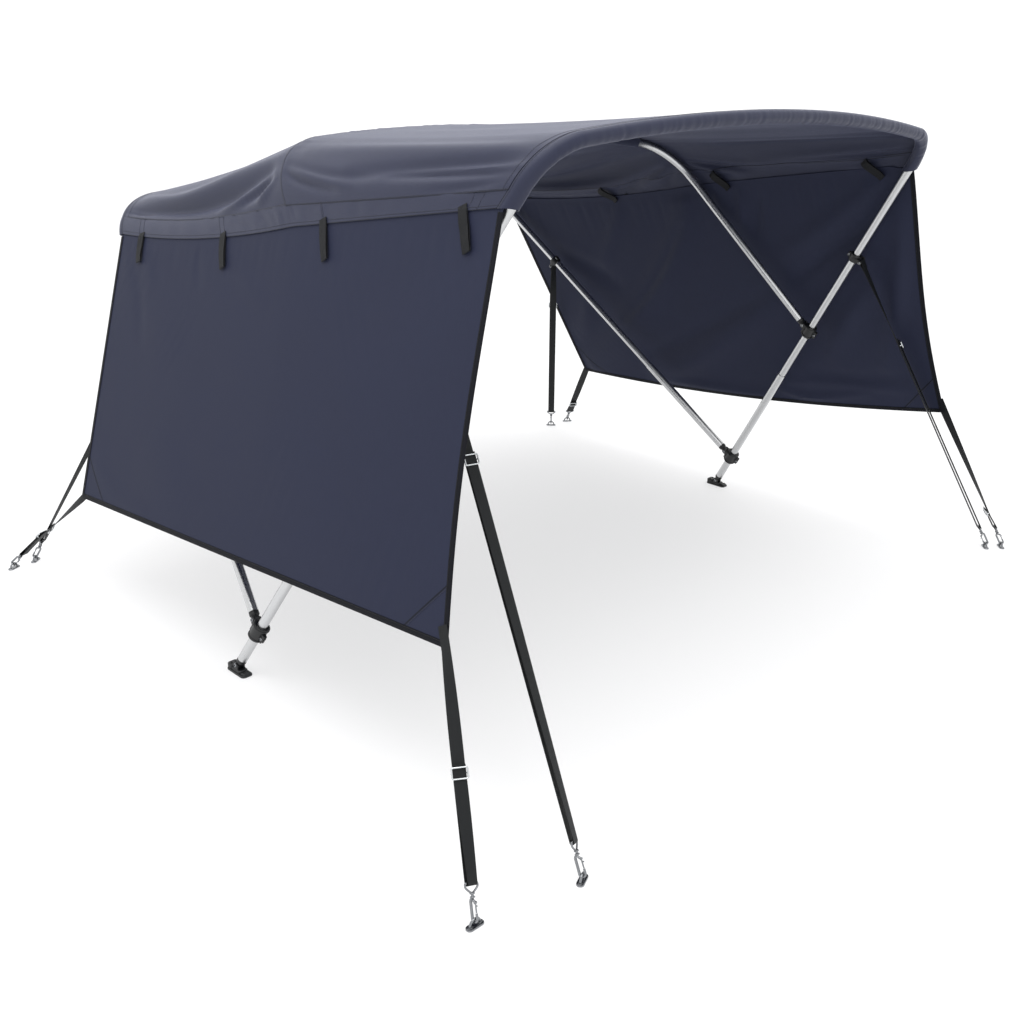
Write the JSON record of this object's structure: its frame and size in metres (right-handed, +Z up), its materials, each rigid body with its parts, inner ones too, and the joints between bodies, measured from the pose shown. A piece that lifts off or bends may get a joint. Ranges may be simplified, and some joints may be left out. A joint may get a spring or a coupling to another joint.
{
  "type": "bimini top with frame",
  "caption": "Fabric bimini top over a folding tube frame, with two side walls and webbing straps that hook to deck eyes.",
  "frame": {"origin": "on the deck, under the middle of the whole part's box", "axes": "+Z up, +X to the open front, +Y to the left side"},
  "size_m": [2.1704, 2.4661, 1.3514],
  "materials": {
    "canvas": "woven acrylic or polyester canvas, matt slate blue",
    "wall_canvas": "woven canvas, matt slate blue, seen on the shaded side",
    "binding": "folded black binding tape, matt",
    "webbing": "black woven webbing",
    "nylon": "moulded black nylon, satin",
    "aluminium": "bright anodised drawn tube",
    "steel": "polished stainless steel"
  },
  "bodies": {
    "root": {"top_panel_front": "canvas", "top_panel_rear": "canvas", "front_sleeve": "canvas", "middle_sleeve": "canvas", "rear_sleeve": "canvas", "main_bow": "aluminium", "middle_bow": "aluminium", "rear_bow": "aluminium", "valance_right": "canvas", "wall_right": "wall_canvas", "wall_binding_right": "binding", "main_lower_tube_right": "aluminium", "rear_lower_tube_right": "aluminium", "deck_hinge_right": "nylon", "lower_jaw_right": "nylon", "upper_jaw_right": "nylon", "valance_left": "canvas", "wall_left": "wall_canvas", "wall_binding_left": "binding", "main_lower_tube_left": "aluminium", "rear_lower_tube_left": "aluminium", "deck_hinge_left": "nylon", "lower_jaw_left": "nylon", "upper_jaw_left": "nylon", "slide_right_front_frame": "nylon", "strap_right_front_frame": "webbing", "buckle_right_front_frame": "steel", "hook_right_front_frame": "steel", "deck_eye_right_front_frame": "steel", "slide_left_front_frame": "nylon", "strap_left_front_frame": "webbing", "buckle_left_front_frame": "steel", "hook_left_front_frame": "steel", "deck_eye_left_front_frame": "steel", "slide_right_rear_frame": "nylon", "strap_right_rear_frame": "webbing", "buckle_right_rear_frame": "steel", "hook_right_rear_frame": "steel", "deck_eye_right_rear_frame": "steel", "slide_left_rear_frame": "nylon", "strap_left_rear_frame": "webbing", "buckle_left_rear_frame": "steel", "hook_left_rear_frame": "steel", "deck_eye_left_rear_frame": "steel", "strap_right_front_wall": "webbing", "buckle_right_front_wall": "steel", "hook_right_front_wall": "steel", "deck_eye_right_front_wall": "steel", "strap_left_front_wall": "webbing", "buckle_left_front_wall": "steel", "hook_left_front_wall": "steel", "deck_eye_left_front_wall": "steel", "strap_right_rear_wall": "webbing", "buckle_right_rear_wall": "steel", "hook_right_rear_wall": "steel", "deck_eye_right_rear_wall": "steel", "strap_left_rear_wall": "webbing", "buckle_left_rear_wall": "steel", "hook_left_rear_wall": "steel", "deck_eye_left_rear_wall": "steel"}
  },
  "joints": []
}
